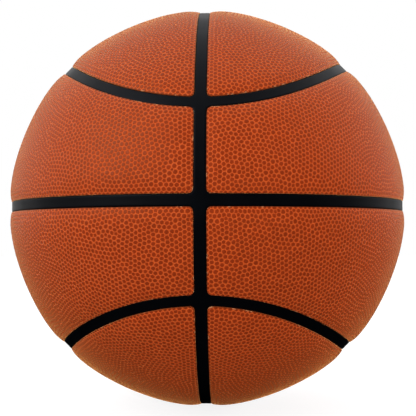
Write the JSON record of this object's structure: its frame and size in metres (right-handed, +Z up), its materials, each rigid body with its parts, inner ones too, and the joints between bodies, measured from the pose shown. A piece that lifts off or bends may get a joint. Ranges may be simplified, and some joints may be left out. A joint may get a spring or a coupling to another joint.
{
  "type": "basketball",
  "caption": "Round sports ball of pebbled leather panels parted by recessed black rubber channels, over a sponge, carcass, thread and bladder wall, with a needle valve.",
  "frame": {"origin": "the centre of the ball", "axes": "+Z up. The straight vertical channel lies in the plane X = 0 and the level one in the plane Z = 0, so they cross at the front (-Y) and at the back (+Y). The valve is on the back, up and to +X."},
  "size_m": [0.239, 0.238, 0.239],
  "materials": {
    "cover_leather": "satin",
    "sponge": "matte",
    "channel_rubber": "satin",
    "thread": "matte",
    "bladder_rubber": "satin",
    "valve_rubber": "matte"
  },
  "bodies": {
    "root": {"side_panel_upper_right": "cover_leather", "side_panel_upper_left": "cover_leather", "side_panel_lower_right": "cover_leather", "side_panel_lower_left": "cover_leather", "end_panel_top_right": "cover_leather", "end_panel_top_left": "cover_leather", "end_panel_bottom_right": "cover_leather", "end_panel_bottom_left": "cover_leather", "side_pad_upper_right": "sponge", "side_pad_upper_left": "sponge", "side_pad_lower_right": "sponge", "side_pad_lower_left": "sponge", "end_pad_top_right": "sponge", "end_pad_top_left": "sponge", "end_pad_bottom_right": "sponge", "end_pad_bottom_left": "sponge", "carcass": "channel_rubber", "winding": "thread", "bladder": "bladder_rubber", "valve_housing": "valve_rubber", "valve_plug": "valve_rubber"}
  },
  "joints": []
}
